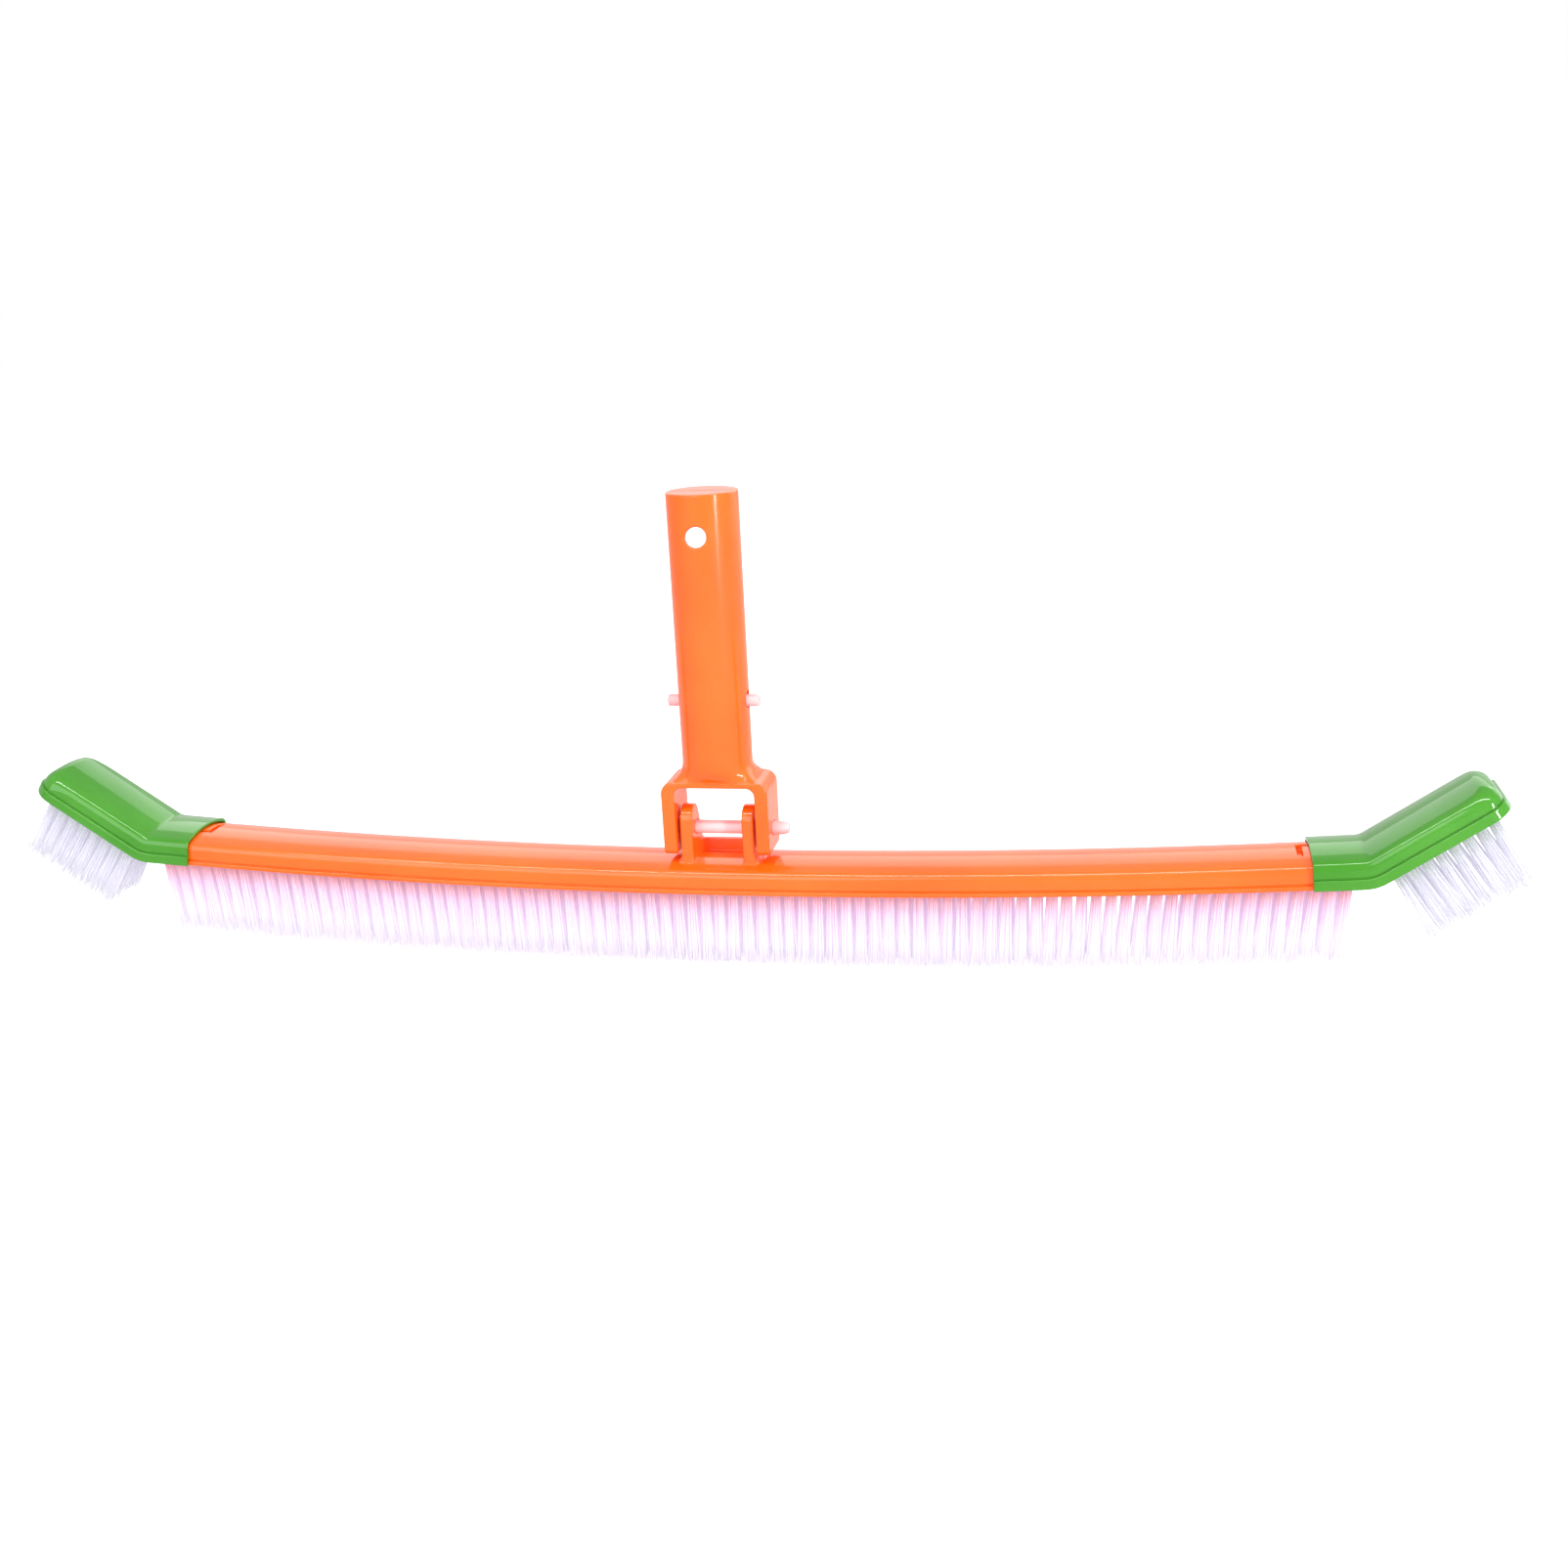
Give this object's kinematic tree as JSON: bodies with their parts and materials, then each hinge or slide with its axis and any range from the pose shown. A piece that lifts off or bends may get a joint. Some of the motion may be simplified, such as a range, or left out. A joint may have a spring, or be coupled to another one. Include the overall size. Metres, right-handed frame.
{
  "type": "pool wall brush",
  "caption": "Curved pool wall brush with angled end caps, nylon tufts, and a hinged tubular handle with a sprung locking clip for a telescopic pole.",
  "frame": {"origin": "centre of the flat closed end of the handle tube, where the handle goes into the pole", "axes": "+Z out of the tube's end along the pole, +X along the brush, -Y towards the front"},
  "size_m": [0.629, 0.0368, 0.1928],
  "materials": {
    "orange_plastic": "satin moulded polypropylene, bright orange",
    "green_plastic": "glossy moulded plastic, leaf green",
    "white_nylon": "translucent natural nylon",
    "bristle_nylon": "translucent white nylon filament"
  },
  "bodies": {
    "handle": {"handle": "orange_plastic", "hinge_pin": "white_nylon", "clip_bend": "white_nylon"},
    "clip_leg_right": {"clip_leg_right": "white_nylon"},
    "clip_leg_left": {"clip_leg_left": "white_nylon"},
    "head": {"brush_back": "orange_plastic", "end_cap_right": "green_plastic", "end_cap_left": "green_plastic", "bristle_row_1_section_1": "bristle_nylon", "bristle_row_2_section_1": "bristle_nylon", "bristle_row_3_section_1": "bristle_nylon", "bristle_row_4_section_1": "bristle_nylon", "bristle_row_1_section_2": "bristle_nylon", "bristle_row_2_section_2": "bristle_nylon", "bristle_row_3_section_2": "bristle_nylon", "bristle_row_4_section_2": "bristle_nylon", "bristle_row_1_section_3": "bristle_nylon", "bristle_row_2_section_3": "bristle_nylon", "bristle_row_3_section_3": "bristle_nylon", "bristle_row_4_section_3": "bristle_nylon", "bristle_row_1_section_4": "bristle_nylon", "bristle_row_2_section_4": "bristle_nylon", "bristle_row_3_section_4": "bristle_nylon", "bristle_row_4_section_4": "bristle_nylon", "bristle_row_1_section_5": "bristle_nylon", "bristle_row_2_section_5": "bristle_nylon", "bristle_row_3_section_5": "bristle_nylon", "bristle_row_4_section_5": "bristle_nylon", "cap_bristle_right_row_1": "bristle_nylon", "cap_bristle_right_row_2": "bristle_nylon", "cap_bristle_right_row_3": "bristle_nylon", "cap_bristle_right_row_4": "bristle_nylon", "cap_bristle_left_row_1": "bristle_nylon", "cap_bristle_left_row_2": "bristle_nylon", "cap_bristle_left_row_3": "bristle_nylon", "cap_bristle_left_row_4": "bristle_nylon"}
  },
  "joints": [
    {"name": "head_tilt", "type": "hinge", "parent": "handle", "child": "head", "pos_m": [0, 0, -0.1374], "axis": [1, 0, 0], "range_deg": [-27, 27]},
    {"name": "button_right_press", "type": "hinge", "parent": "handle", "child": "clip_leg_right", "pos_m": [0.00933, 0, -0.1054], "axis": [0, -1, 0], "range_deg": [0, 11.5], "stiffness_Nm_per_rad": 1.2, "springref_deg": -2.86},
    {"name": "button_left_press", "type": "hinge", "parent": "handle", "child": "clip_leg_left", "pos_m": [-0.00933, 0, -0.1054], "axis": [0, 1, 0], "range_deg": [0, 11.5], "stiffness_Nm_per_rad": 1.2, "springref_deg": -2.86}
  ]
}
